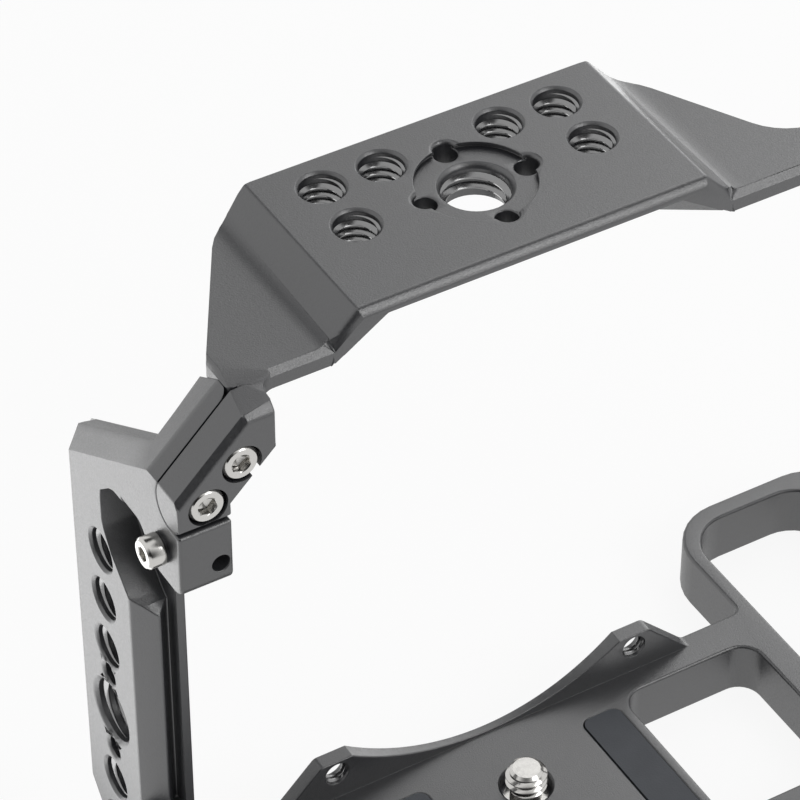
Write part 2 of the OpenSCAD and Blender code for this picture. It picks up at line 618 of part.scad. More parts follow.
// Side view of the upright: foot, bar, sloping shoulder and the seat for the bridge's strip
module upright_side() {
  polygon(rounded([[right_inner_x, 0, 0], [right_x, 0, 0], [right_x, shelf_low_z - shoulder, seat_r],
    [right_seat_x, shelf_low_z, 0], [right_seat_x - seat_l, shelf_low_z, 0],
    [right_seat_x - seat_l, shelf_low_z - seat_t, seat_t / 3], [right_inner_x, shelf_low_z - seat_t - shoulder / 2, 0]]));
}
module right_upright() color(black) difference() {
  union() {
    along_y(strip_y0, strip_y0 + strip_w) upright_side();
    along_x(right_x - side_bar_w, right_x) polygon(rounded([[strip_y0 - right_flange_out, 0, 0],
      [strip_y0 - right_flange_out, right_flange_h, base_r], [strip_y0, right_flange_h, 0],
      [strip_y0, right_flange_h * 2, 0], [strip_y0 + strip_w, right_flange_h * 2, 0], [strip_y0 + strip_w, right_flange_h, 0],
      [strip_y0 + strip_w + right_flange_out, right_flange_h, base_r], [strip_y0 + strip_w + right_flange_out, 0, 0]]));
  }
  for (y = right_bolt_ys) translate([right_bolt_x, y, 0]) mirror([0, 0, 1])
    hole(bolt_d + bolt_fit * 2, right_flange_h + over, 0);
  for (y = right_dowel_ys) translate([right_bolt_x, y, 0]) dowel_hole();
  for (x = seat_bolt_xs) translate([x, strip_y0 + strip_w / 2, shelf_low_z])
    hole(bolt_d + bolt_fit * 2, seat_bolt_l - sheet_t + seam, 0);
  translate([(seat_bolt_xs[0] + seat_bolt_xs[1]) / 2, strip_y0 + strip_w / 2, shelf_low_z])
    cylinder(d = dowel_d + dowel_fit * 2, h = dowel_half + seam, center = true);
}

module bridge_screw(k) {
  color(silver) at_bolt(k) translate([0, 0, bolt_head_h - bolt_pocket_h])
    cap_screw(bolt_d, foot_t - bolt_pocket_h + bolt_grip - over, bolt_head_d, bolt_head_h, bolt_hex, bolt_hex_depth);
}
module bridge_dowel() { color(silver) at_bridge_dowel() dowel(dowel_half); }
module lug_washer() {
  color(black) at_lug() difference() {
    cylinder(d = lug_washer_d, h = lug_washer_t);
    translate([0, 0, -over]) cylinder(d = lug_d + lug_fit * 2, h = lug_washer_t + over * 2);
  }
}
module lug_screw() {
  color(silver) at_lug() translate([0, 0, lug_washer_t + lug_head_h])
    cap_screw(lug_d, lug_washer_t + block_in + lug_reach, lug_head_d, lug_head_h, lug_hex, lug_hex_depth);
}
module camera_screw() {
  head_z = -cam_web - cam_washer_t;
  color(silver) difference() {
    union() {
      translate([0, 0, head_z - cam_head_t]) cylinder(d = cam_head_d, h = cam_head_t);
      translate([0, 0, head_z - cam_head_t / 2]) cylinder(d = cam_neck_d, h = cam_head_t - head_z);
      cylinder(d = cam_d, h = cam_reach - cam_tip);
      translate([0, 0, cam_reach - cam_tip]) cylinder(d1 = cam_d, d2 = cam_d - cam_tip * 2, h = cam_tip);
    }
    translate([-cam_head_d / 2 - over, -cam_slot_w / 2, head_z - cam_head_t - over])
      cube([cam_head_d + over * 2, cam_slot_w, cam_slot_depth + over]);
  }
}
module camera_screw_washer() {
  color(black) translate([0, 0, -cam_web - cam_washer_t]) difference() {
    cylinder(d = cam_head_d, h = cam_washer_t);
    translate([0, 0, -over]) cylinder(d = cam_washer_bore, h = cam_washer_t + over * 2);
  }
}
function ring_z() = -base_t + ring_below;
module camera_screw_ring() {
  color(black) translate([0, 0, ring_z()])
    rotate_extrude(angle = 360 - ring_gap_angle) translate([ring_bore / 2, 0]) square([(ring_d - ring_bore) / 2, ring_t]);
}
module left_base_screw(k) {
  color(black) translate([-base_bolt_x, base_bolt_ys[k], -base_t]) mirror([0, 0, 1])
    flat_screw(bolt_d, base_bolt_l - over, base_bolt_head_d);
}
module left_base_dowel(k) { color(silver) translate([-base_bolt_x, base_dowel_ys[k], 0]) dowel(dowel_half); }
module right_base_screw(k) {
  color(black) translate([right_bolt_x, right_bolt_ys[k], -base_t]) mirror([0, 0, 1])
    flat_screw(bolt_d, base_t + right_flange_h - over, base_bolt_head_d);
}
module right_base_dowel(k) { color(silver) translate([right_bolt_x, right_dowel_ys[k], 0]) dowel(dowel_half); }
module right_bridge_screw(k) {
  color(black) translate([seat_bolt_xs[k], strip_y0 + strip_w / 2, shelf_z])
    flat_screw(bolt_d, seat_bolt_l - seam, base_bolt_head_d);
}
module right_bridge_dowel() {
  color(silver) translate([(seat_bolt_xs[0] + seat_bolt_xs[1]) / 2, strip_y0 + strip_w / 2, shelf_low_z])
    dowel(dowel_half / 2);
}

top_bridge();
left_side_plate();
base_plate();
right_upright();
bridge_screw(1);  // bridge_screw_upper
bridge_screw(0);  // bridge_screw_lower
bridge_dowel();
lug_screw();
lug_washer();
camera_screw();
camera_screw_washer();
camera_screw_ring();
color(rubber) mirror([1, 0, 0]) pad();  // pad_left
color(rubber) pad();  // pad_right
left_base_screw(0);  // left_base_screw_rear
left_base_screw(1);  // left_base_screw_middle
left_base_screw(2);  // left_base_screw_front
left_base_dowel(0);  // left_base_dowel_rear
left_base_dowel(1);  // left_base_dowel_front
right_base_screw(0);  // right_base_screw_rear
right_base_screw(1);  // right_base_screw_front
right_base_dowel(0);  // right_base_dowel_rear
right_base_dowel(1);  // right_base_dowel_front
right_bridge_screw(0);  // right_bridge_screw_inner
right_bridge_screw(1);  // right_bridge_screw_outer
right_bridge_dowel();
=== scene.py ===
# %% [markdown]
# # A black camera cage, dressed for its portrait
#
# The cage is a set of milled aluminium parts: a raised bridge over the camera, a side plate with an
# accessory rail, a floor with a lens lip, and an upright on the grip side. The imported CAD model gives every
# part its exact place, so this script only adds what a milling machine, a tap and an anodising bath leave
# behind: softened edges, screw threads, socket screws and a fine blasted skin.

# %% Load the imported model
import json
import math

import bmesh
import bpy
import numpy as np
from mathutils import Matrix, Vector


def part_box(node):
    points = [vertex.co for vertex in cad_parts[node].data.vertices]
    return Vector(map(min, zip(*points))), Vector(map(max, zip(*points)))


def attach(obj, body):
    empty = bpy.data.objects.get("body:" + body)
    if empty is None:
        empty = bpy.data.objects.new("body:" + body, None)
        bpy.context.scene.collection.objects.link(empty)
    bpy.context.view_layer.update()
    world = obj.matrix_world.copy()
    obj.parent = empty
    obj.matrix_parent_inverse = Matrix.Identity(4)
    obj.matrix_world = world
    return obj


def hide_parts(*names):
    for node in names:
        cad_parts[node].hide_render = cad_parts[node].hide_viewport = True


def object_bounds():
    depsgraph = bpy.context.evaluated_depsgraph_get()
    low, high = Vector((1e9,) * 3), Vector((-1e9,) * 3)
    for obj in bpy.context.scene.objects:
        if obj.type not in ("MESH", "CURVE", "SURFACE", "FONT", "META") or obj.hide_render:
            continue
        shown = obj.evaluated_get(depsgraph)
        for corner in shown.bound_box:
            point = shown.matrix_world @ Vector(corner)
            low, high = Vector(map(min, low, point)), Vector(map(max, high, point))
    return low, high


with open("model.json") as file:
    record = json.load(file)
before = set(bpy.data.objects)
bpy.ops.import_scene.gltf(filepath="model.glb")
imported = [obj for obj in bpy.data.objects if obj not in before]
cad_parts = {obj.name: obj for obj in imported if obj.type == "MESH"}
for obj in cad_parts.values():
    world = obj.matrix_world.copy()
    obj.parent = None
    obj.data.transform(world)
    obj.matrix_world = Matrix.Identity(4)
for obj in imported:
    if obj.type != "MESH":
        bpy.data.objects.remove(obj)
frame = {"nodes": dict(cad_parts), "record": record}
cad_box = [list(corner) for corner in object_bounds()]
MM = 0.001

# %% [markdown]
# ## The camera
#
# The photograph looks down on the cage from the rear left with a long lens, so parallel edges stay almost
# parallel. The place, angle and focal length were worked out from the tapped holes, whose sizes are
# standard, because a camera placed by eye would leave every edge a little off. A long lens far away also
# keeps the same look when the camera is moved to other sides.

# %% Place the camera
CAMERA_PLACE = (-226.18, -345.83, 438.25)
CAMERA_ELEVATION = 41.334
CAMERA_AZIMUTH = -30.616
LENS_MM = 183.6
SENSOR_MM = 36

camera_data = bpy.data.cameras.new("camera")
camera_data.lens = LENS_MM
camera_data.sensor_width = SENSOR_MM
camera_data.clip_start = 0.01
camera_data.clip_end = 20
camera = bpy.data.objects.new("camera", camera_data)
camera.location = [v * MM for v in CAMERA_PLACE]
camera.rotation_euler = (math.radians(90 - CAMERA_ELEVATION), 0, math.radians(CAMERA_AZIMUTH))
bpy.context.scene.collection.objects.link(camera)
bpy.context.scene.camera = camera
print("camera at", [round(v, 3) for v in camera.location])

# %% [markdown]
# ## A small kit for materials
#
# Every finish here is built from nodes, with no pictures. They could be clicked together by hand, but a
# recipe in code can be read and run again. A helper makes a node, sets its sockets and returns it, so that
# each recipe reads as a short list of layers. Sockets that share a name with another one are reached by
# their number, because a name would find only the first of them.

# %% Material helpers
MIX_DARK, MIX_LIGHT, MIX_RESULT = 6, 7, 2  # the colour sockets of a Mix node


def new_material(name):
    material = bpy.data.materials.new(name)
    material.use_nodes = True
    material.node_tree.nodes.clear()
    return material, material.node_tree


def add_node(tree, kind, values=(), **settings):
    """A new shader node, with each of its values set, or linked where the value is a socket."""
    node = tree.nodes.new("ShaderNode" + kind)
    for key, value in settings.items():
        setattr(node, key, value)
    for key, value in dict(values).items():
        if isinstance(value, bpy.types.NodeSocket):
            tree.links.new(value, node.inputs[key])
        else:
            node.inputs[key].default_value = value
    return node


def ramp(tree, factor, low, high, from_low=0.3, from_high=0.7):
    """Stretch a factor from one range to another, and stop at its ends."""
    node = add_node(tree, "MapRange", {0: factor, 1: from_low, 2: from_high, 3: low, 4: high})
    return node.outputs[0]


def blend_colours(tree, factor, dark, light):
    node = add_node(tree, "Mix", {0: factor}, data_type="RGBA")
    node.inputs[MIX_DARK].default_value = (*dark, 1)
    node.inputs[MIX_LIGHT].default_value = (*light, 1)
    return node.outputs[MIX_RESULT]


def finish_shader(tree, values, normal):
    shader = add_node(tree, "BsdfPrincipled", {**values, "Normal": normal})
    add_node(tree, "OutputMaterial", {0: shader.outputs[0]})


# %% [markdown]
# ## Black anodised aluminium
#
# The parts are blasted with fine beads before they are dyed black. Up close the skin is a field of tiny
# dents, which break a reflection into a soft satin glow, while the dye varies a little from place to
# place. One flat black would look like plastic. So noise does both jobs: a fine one drives the bump and a
# coarse one the colour. The index of refraction is rather high, because in the photograph the black skin
# mirrors the room strongly.

# %% Make the anodised finish
DYE_SPECKS = 0.12
GLOSS_SPREAD = 0.06
DENT_DEPTH = 0.00005


def anodised(name, dark, light, roughness, grain, ior=2.05):
    material, tree = new_material(name)
    place = add_node(tree, "TexCoord").outputs["Object"]
    grains = add_node(tree, "TexNoise", {"Vector": place, "Scale": 4200, "Detail": 3, "Roughness": 0.6})
    clouds = add_node(tree, "TexNoise", {"Vector": place, "Scale": 90, "Detail": 4, "Roughness": 0.55})
    specks = add_node(tree, "TexNoise", {"Vector": place, "Scale": 1500, "Detail": 2})
    speckle = ramp(tree, specks.outputs[0], -DYE_SPECKS, DYE_SPECKS)
    tone = add_node(tree, "Math", {0: clouds.outputs[0], 1: speckle})
    colour = blend_colours(tree, tone.outputs[0], dark, light)
    rough = ramp(tree, grains.outputs[0], roughness - GLOSS_SPREAD, roughness + GLOSS_SPREAD)
    dents = add_node(tree, "Bump", {"Height": grains.outputs[0], "Strength": grain, "Distance": DENT_DEPTH})
    finish_shader(tree, {"Base Color": colour, "Roughness": rough, "IOR": ior}, dents.outputs[0])
    return material


aluminium = anodised("anodised_aluminium", (0.010, 0.0105, 0.012), (0.019, 0.020, 0.024), 0.38, 0.6)
print("finish:", aluminium.name)

# %% [markdown]
# ## Bright steel, blackened steel and rubber
#
# The screws that show are bright stainless steel with small smears and scratches, and the hidden ones are
# blackened. The pads in the floor are a fine matt rubber. A plain metal colour would look like chrome, so a
# noise changes the gloss from spot to spot, and the rubber gets its grain from small Voronoi cells.

# %% Make the steel and the rubber
def steel(name, colour, roughness):
    material, tree = new_material(name)
    place = add_node(tree, "TexCoord").outputs["Object"]
    smears = add_node(tree, "TexNoise", {"Vector": place, "Scale": 1400, "Detail": 3})
    scratches = add_node(tree, "TexNoise", {"Vector": place, "Scale": 6000, "Detail": 2})
    rough = ramp(tree, smears.outputs[0], roughness - 0.04, roughness + 0.05)
    tint = blend_colours(tree, smears.outputs[0], [c * 0.93 for c in colour], colour)
    marks = add_node(tree, "Bump", {"Height": scratches.outputs[0], "Strength": 0.12, "Distance": 0.00001})
    finish_shader(tree, {"Base Color": tint, "Metallic": 1.0, "Roughness": rough}, marks.outputs[0])
    return material


def rubber(name):
    material, tree = new_material(name)
    place = add_node(tree, "TexCoord").outputs["Object"]
    cells = add_node(tree, "TexVoronoi", {"Vector": place, "Scale": 3200})
    clouds = add_node(tree, "TexNoise", {"Vector": place, "Scale": 200, "Detail": 4})
    colour = blend_colours(tree, clouds.outputs[0], (0.040, 0.044, 0.052), (0.062, 0.067, 0.077))
    grain = add_node(tree, "Bump", {"Height": cells.outputs[0], "Strength": 0.3, "Distance": 0.00003})
    finish_shader(tree, {"Base Color": colour, "Roughness": 0.62, "IOR": 1.5}, grain.outputs[0])
    return material


FINISHES = {
    "anodised_aluminium": aluminium,
    "stainless_steel": steel("stainless_steel", (0.60, 0.59, 0.57), 0.17),
    "black_steel": steel("black_steel", (0.10, 0.10, 0.105), 0.38),
    "rubber": rubber("rubber"),
}
SLOTS = {entry["node"]: entry["material_slot"] for entry in frame["record"]["subparts"]}
for name, obj in frame["nodes"].items():
    obj.data.materials.clear()
    obj.data.materials.append(FINISHES[SLOTS[name]])
print("finishes:", sorted(FINISHES))

# %% [markdown]
# ## Softened edges
#
# A milled part never has a perfectly sharp edge: the last tool or the blasting rounds it by a few tenths of
# a millimetre, and that rounding catches the light as a thin bright line. A shader can fake it, but the
# outline stays sharp and the exported model loses it, so the edges are really bevelled. A bevel over a CAD
# mesh has to start from whole faces, so each part is copied and its triangles are joined back into the
# planes that the mill cut. Only the corners between those planes are left as edges.

# %% Copy a CAD node as whole faces
SHARP = math.radians(22)
FLAT = math.radians(0.5)
WELD = 2e-6


def whole_faces(node):
    mesh = bmesh.new()
    mesh.from_mesh(frame["nodes"][node].data)
    bmesh.ops.remove_doubles(mesh, verts=mesh.verts, dist=WELD)
    bmesh.ops.dissolve_degenerate(mesh, dist=WELD, edges=mesh.edges)
    bmesh.ops.dissolve_limit(mesh, angle_limit=FLAT, verts=mesh.verts, edges=mesh.edges)
    crowded = [face for face in mesh.faces if len(face.verts) > 4]
    bmesh.ops.triangulate(mesh, faces=crowded, quad_method="BEAUTY", ngon_method="BEAUTY")
    bmesh.ops.recalc_face_normals(mesh, faces=mesh.faces)
    return mesh


def is_sharp(edge):
    return len(edge.link_faces) == 2 and edge.calc_face_angle(0) > SHARP


# %% [markdown]
# A bevel that is wider than the room beside its edge folds over itself. Blender can clamp a bevel, but then
# one narrow spot makes every edge of the part narrow. So the free depth is measured edge by edge, inside the
# flat region that the edge borders, as a machinist would measure how wide a chamfer fits on a rim. First
# the triangles that lie in one plane are gathered into regions.

# %% Gather the flat regions
def flat_regions(mesh):
    mesh.faces.ensure_lookup_table()
    seen, regions = set(), []
    for start in mesh.faces:
        if start.index in seen:
            continue
        seen.add(start.index)
        region, waiting = [], [start]
        while waiting:
            face = waiting.pop()
            region.append(face)
            for edge in face.edges:
                for other in edge.link_faces:
                    if other.index not in seen and edge.calc_face_angle(0) < FLAT:
                        seen.add(other.index)
                        waiting.append(other)
        regions.append(region)
    return regions


# %% [markdown]
# Then a few points along each border edge look straight into the region, and the nearest border across from
# them gives the depth. Each of two edges that face each other may take a little less than half of it. Where
# a region's corner is sharp, a short neighbour limits the width too, because the bevel runs along it.

# %% Measure the room beside each edge
LOOK_FROM = (0.12, 0.3, 0.5, 0.7, 0.88)
DEPTH_SHARE = 0.46
CORNER_SHARE = 0.42
SHALLOWEST_TURN = 0.3
STRAIGHT_ON = 0.9


def depth_across(i, start, end, along, inward, touching):
    """The least free depth in front of edge i, seen from a few points along it."""
    length = np.linalg.norm(end[i] - start[i])
    least = math.inf
    for share in LOOK_FROM:
        point = start[i] + along * length * share
        start_along, end_along = (start - point) @ along, (end - point) @ along
        start_depth, end_depth = (start - point) @ inward, (end - point) @ inward
        crosses = (start_along * end_along < 0) & ~touching
        run = np.where(crosses, start_along - end_along, 1)
        depth = start_depth + (end_depth - start_depth) * start_along / run
        least = min(least, np.min(depth[crosses & (depth > WELD / 2)], initial=math.inf))
    return least


def corner_width(i, start, end, keys, along, normal, touching):
    """The width that its neighbours leave to edge i, where the region turns a corner."""
    least = math.inf
    for j in np.nonzero(touching)[0]:
        at_start, at_end = keys[j][1] == keys[i][0], keys[j][0] == keys[i][1]
        if j == i or not (at_start or at_end):
            continue
        other = end[j] - start[j]
        span = np.linalg.norm(other)
        turn = np.dot(np.cross(other, along) if at_start else np.cross(along, other), normal) / span
        if turn > 0 and np.dot(other, along) / span < STRAIGHT_ON:
            least = min(least, CORNER_SHARE * span * max(turn, SHALLOWEST_TURN))
    return least


def region_room(region, room):
    """Lower each border edge's room to what fits inside this flat region."""
    loops = [l for face in region for l in face.loops if l.edge in room]
    if len(loops) < 2:
        return
    start = np.array([l.vert.co for l in loops])
    end = np.array([l.link_loop_next.vert.co for l in loops])
    keys = np.array([(l.vert.index, l.link_loop_next.vert.index) for l in loops])
    normal = np.array(region[0].normal)
    for i, loop in enumerate(loops):
        along = end[i] - start[i]
        along = along / max(np.linalg.norm(along), 1e-12)
        inward = np.cross(normal, along)
        touching = (keys == keys[i][0]).any(1) | (keys == keys[i][1]).any(1)
        across = depth_across(i, start, end, along, inward, touching) * DEPTH_SHARE
        corner = corner_width(i, start, end, keys, along, normal, touching)
        room[loop.edge] = min(room[loop.edge], across, corner)


# %% [markdown]
# Edges that flow into each other belong to one run, such as the rim of a hole or the outline of the floor.
# A run gets one width, because a step in width on a curve would leave a notch.

# %% Group the edges into runs
FLOWS_ON = -0.8
RIM_EDGES = 11
SMALLEST_RIM, LARGEST_RIM = 1.5 * MM, 18 * MM


def runs_of(edges):
    """Group sharp edges that flow into each other without a corner."""
    group = {e: e for e in edges}

    def root(e):
        while group[e] is not e:
            group[e] = group[group[e]]
            e = group[e]
        return e

    for vert in {v for e in edges for v in e.verts}:
        here = [e for e in vert.link_edges if e in group]
        for k, first in enumerate(here):
            for second in here[k + 1:]:
                one = (first.other_vert(vert).co - vert.co).normalized()
                two = (second.other_vert(vert).co - vert.co).normalized()
                if one.dot(two) < FLOWS_ON:
                    group[root(first)] = root(second)
    runs = {}
    for e in edges:
        runs.setdefault(root(e), []).append(e)
    return list(runs.values())


def round_rim(run):
    """Whether a run is the closed round rim of a hole or a countersink."""
    ends = {v for edge in run for v in edge.verts}
    span = [max(v.co[k] for v in ends) - min(v.co[k] for v in ends) for k in range(3)]
    return len(run) > RIM_EDGES and len(ends) == len(run) and SMALLEST_RIM < max(span) < LARGEST_RIM


def run_length(run):
    return sum(edge.calc_length() for edge in run)


# %% [markdown]
# A bevel modifier takes one width, and each edge's bevel weight says how much of it that edge gets. So every
# run is given the width that is wanted there, or less where the room is smaller. A run takes the smallest
# room along it, but a long outline would then follow its one narrowest spot, so there the narrowest seventh
# of the edges is set aside, and those edges keep to their own room. Very small widths stay sharp corners.

# %% Bevel a part's edges
BODIES = frame["record"]["behaviour"]["bodies"]
BODY_OF = {node: body for body, nodes in BODIES.items() for node in nodes}
HOLE_RIM = 0.07 * MM
LONG_RUN = 60 * MM
FINE_WIDTH = 0.4 * MM
SET_ASIDE = 7
NARROWEST = 0.03 * MM
NEARLY_FULL = 0.8


def finish_mesh(mesh, name, material, body):
    data = bpy.data.meshes.new(name)
    mesh.to_mesh(data)
    mesh.free()
    data.materials.append(material)
    obj = bpy.data.objects.new(name, data)
    bpy.context.scene.collection.objects.link(obj)
    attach(obj, body)
    return obj


def fitted_widths(runs, room, width, choose):
    """The bevel width of each run: what is wanted there, or less where it doesn't fit."""
    widths = []
    for run in runs:
        wanted = choose(run) or (HOLE_RIM if round_rim(run) else width)
        rooms = sorted(room[edge] for edge in run)
        spared = len(rooms) // SET_ASIDE if run_length(run) > LONG_RUN and wanted < FINE_WIDTH else 0
        widths.append(min(wanted, rooms[spared]))
    return widths


def soften(node, width, choose=lambda run: None):
    """Replace a node by its copy with rounded edges. choose may give a run a width of its own."""
    mesh = whole_faces(node)
    weight = mesh.edges.layers.float.new("bevel_weight_edge")
    room = {edge: 1.0 for edge in mesh.edges if is_sharp(edge)}
    for region in flat_regions(mesh):
        region_room(region, room)
    runs = runs_of(room)
    widths = fitted_widths(runs, room, width, choose)
    widest = max(widths)
    total = sum(run_length(run) for run in runs)
    full = sum(run_length(run) for run, fits in zip(runs, widths) if fits > NEARLY_FULL * width)
    for run, fits in zip(runs, widths):
        for edge in run:
            if min(fits, room[edge]) > NARROWEST:
                edge[weight] = min(fits, room[edge]) / widest
            else:
                edge.smooth = False
    for face in mesh.faces:
        face.smooth = True
    obj = finish_mesh(mesh, node + "_milled", FINISHES[SLOTS[node]], BODY_OF[node])
    bevel = obj.modifiers.new("softened edges", "BEVEL")
    bevel.limit_method = "WEIGHT"
    bevel.width = widest
    bevel.segments = 3
    bevel.use_clamp_overlap = False
    bevel.loop_slide = False
    even = obj.modifiers.new("even shading", "WEIGHTED_NORMAL")
    even.weight = 100
    even.keep_sharp = True
    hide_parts(node)
    print(node, "edge mm:", round(total / MM), "at full width:", round(full / total * 100), "%")


# %% [markdown]
# The photograph shows some edges rounder than others: the bridge's outline and foot, the border of its long
# rear chamfer and the crown of the side plate are broader than the rims of the grooves. The long inner
# corner at the foot of the lens lip is the other way round, and stays tight. Widths could be painted on the
# edges by hand, but the painting would be lost when the CAD model changes. So each rule below looks at
# where an edge lies and how its two faces lean.

# %% Soften the four milled parts
BRIDGE_CHAMFER, BRIDGE_FOOT, BRIDGE_OUTLINE = 0.38 * MM, 0.6 * MM, 0.75 * MM
PLATE_BLOCK, PLATE_CROWN = 0.6 * MM, 0.7 * MM
LIP_CORNER = 0.031 * MM


def middle_of(edge):
    return (edge.verts[0].co + edge.verts[1].co) / 2


def bridge_width(run):
    """Broad roundings on the bridge's rear chamfer, its foot and its outline, but not round its holes."""
    for edge in run:
        lower, upper = sorted(face.normal.z for face in edge.link_faces)
        middle = middle_of(edge)
        along = (edge.verts[0].co - edge.verts[1].co).normalized()
        beside_chamfer = abs(along.x) > 0.9 and 0.6 < lower < 0.8 and upper > 0.99
        if beside_chamfer and middle.y < 3 * MM and middle.z > 100 * MM:
            return BRIDGE_CHAMFER
        if middle.x < -42 * MM and middle.y < -3 * MM and middle.z < 96 * MM:
            return BRIDGE_FOOT
        in_holes = abs(middle.x) < 26.4 * MM and 3 * MM < middle.y < 29.4 * MM and middle.z > 101 * MM
        in_lap = middle.x < -45 * MM and middle.y < 9 * MM
        if abs(lower) < 0.2 and upper > 0.3 and not in_holes and not in_lap:
            return BRIDGE_OUTLINE
    return None


def plate_width(run):
    """Broad roundings on the side plate's lug block and crown, away from the rail's groove."""
    for edge in run:
        middle = middle_of(edge)
        if middle.x < -50.5 * MM and middle.z > 62 * MM and middle.y < 15 * MM:
            return PLATE_BLOCK
        if middle.z > 83 * MM:
            return PLATE_CROWN
    return None


def base_width(run):
    """A tight inner corner along the lip's foot."""
    for edge in run:
        if edge.calc_face_angle_signed(0) < 0 and edge.calc_length() > 15 * MM:
            return LIP_CORNER
    return None


soften("top_bridge", 0.25 * MM, bridge_width)
soften("left_side_plate", 0.30 * MM, plate_width)
soften("base_plate", 0.5 * MM, base_width)
soften("right_upright", 0.35 * MM)

# %% [markdown]
# ## Turned and tapped parts
#
# Screws are turned: every section across the axis is a ring. Ready-made cylinders joined by booleans would
# leave rough seams. So a screw is built as a stack of rings, each with the same number of points, and walls
# are stretched between them. A hexagon socket is only a ring whose points are pushed out onto six flats,
# which lets one helper make the head, the chamfers, the socket and the drilled cone at its bottom.

# %% Stack rings into a solid
RING = 48
CREASE = math.radians(28)


def frame_along(place, axis):
    """The matrix that puts a piece made along Z at a place in mm, along an axis."""
    turn = Vector(axis).to_track_quat("Z", "Y").to_matrix().to_4x4()
    return Matrix.Translation(Vector(place) * MM) @ turn


def circle_ring(radius, height):
    angles = [2 * math.pi * k / RING for k in range(RING)]
    return [(radius * math.cos(angle), radius * math.sin(angle), height) for angle in angles]


def hex_ring(across_flats, height, twist=0.0):
    points = []
    for k in range(RING):
        angle = 2 * math.pi * k / RING
        from_flat = (angle + math.pi / 6) % (math.pi / 3) - math.pi / 6
        radius = across_flats / 2 / math.cos(from_flat)
        points.append((radius * math.cos(angle + twist), radius * math.sin(angle + twist), height))
    return points


def stack(mesh, rings, to_place):
    rows = [[mesh.verts.new(to_place @ (Vector(point) * MM)) for point in ring] for ring in rings]
    for low, high in zip(rows, rows[1:]):
        for k in range(RING):
            mesh.faces.new((low[k], low[(k + 1) % RING], high[(k + 1) % RING], high[k]))
    mesh.faces.new(rows[0][::-1])
    mesh.faces.new(rows[-1])


def round_piece(mesh, name, slot, body, replaced=(), material=None):
    """A smooth piece whose creases stay sharp."""
    bmesh.ops.recalc_face_normals(mesh, faces=mesh.faces)
    for face in mesh.faces:
        face.smooth = True
    for edge in mesh.edges:
        edge.smooth = not (len(edge.link_faces) == 2 and edge.calc_face_angle(0) > CREASE)
    obj = finish_mesh(mesh, name, material or FINISHES[slot], body)
    if replaced:
        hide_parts(*replaced)
    return obj


# %% [markdown]
# A thread is a ridge that climbs round the axis. A bump would not show in the outline, and Blender's screw
# modifier gives no fading ends. So the ridge is swept along a helix as a small rounded trapezium, with its
# foot sunk a hair into the wall or shaft that carries it, and it fades in and out over less than half a
# turn, as a real tap or die leaves it. The same sweep serves for a bolt, whose ridge points outwards, and
# for a tapped hole, whose ridge points inwards.

# %% Sweep a thread ridge
SUNK = 0.03
SHOULDER = 0.78
RUN_OUT = 0.45
FADE_TURNS = 0.4
FIRST_RISE = 0.3


def thread_ridge(mesh, to_place, start, length, foot_r, crest_r, pitch, steps=36):
    """A ridge from start, over a length, whose section rises from foot_r to crest_r. Sizes are in mm."""
    turns = (length - pitch * 2 * RUN_OUT) / pitch
    count = int(turns * steps)
    fading = steps * FADE_TURNS
    foot = foot_r + math.copysign(SUNK, foot_r - crest_r)
    rows = []
    for k in range(count + 1):
        angle = 2 * math.pi * k / steps
        height = start + pitch * RUN_OUT + pitch * k / steps
        fade = min(1.0, (k + FIRST_RISE) / fading, (count - k + FIRST_RISE) / fading)
        crest = foot_r + (crest_r - foot_r) * fade
        shoulder = foot_r + (crest - foot_r) * SHOULDER
        profile = ((foot, -0.40), (shoulder, -0.15), (crest, -0.05),
                   (crest, 0.05), (shoulder, 0.15), (foot, 0.40))
        row = []
        for radius, shift in profile:
            x, y, z = radius * math.cos(angle), radius * math.sin(angle), height + shift * pitch * fade
            row.append(mesh.verts.new(to_place @ (Vector((x, y, z)) * MM)))
        rows.append(row)
    sides = len(rows[0])
    for low, high in zip(rows, rows[1:]):
        for j in range(sides):
            mesh.faces.new((low[j], high[j], high[(j + 1) % sides], low[(j + 1) % sides]))
    mesh.faces.new(rows[0])
    mesh.faces.new(rows[-1][::-1])


# %% [markdown]
# ## Tapped holes
#
# The small holes take a 1/4 inch screw with twenty threads to the inch, the large ones a 3/8 inch screw with
# sixteen, and the ears of the lens lip a 4 mm screw. Their threads are cut before the black bath, so the
# flanks stay smoother than the blasted skin and flash bright where they face the light. Cutting them out of
# the milled parts would be slow and fragile, so the ridges are added inside the plain bores of the CAD
# model. One liner piece per milled part holds all of its ridges.

# %% Cut the threads
UP, DOWN, LEFT, BACK = (0, 0, 1), (0, 0, -1), (-1, 0, 0), (0, -1, 0)
SMALL = {"foot_r": 3.2, "crest_r": 2.62, "pitch": 1.27}
LARGE = {"foot_r": 4.8, "crest_r": 4.08, "pitch": 1.5875}
EAR = {"foot_r": 2.0, "crest_r": 1.62, "pitch": 0.7}
GRID = 9.2
BRIDGE_UNDER, BRIDGE_BACK_ROW, BRIDGE_FRONT_ROW = 95.3, 16.5, 25.7
RAIL_X, RAIL_Y = -50.5, 19.57
FLOOR_BACK_ROW, FLOOR_FRONT_ROW = -17.2, -8
LENS_X, EAR_REACH = 0.6, 25.74

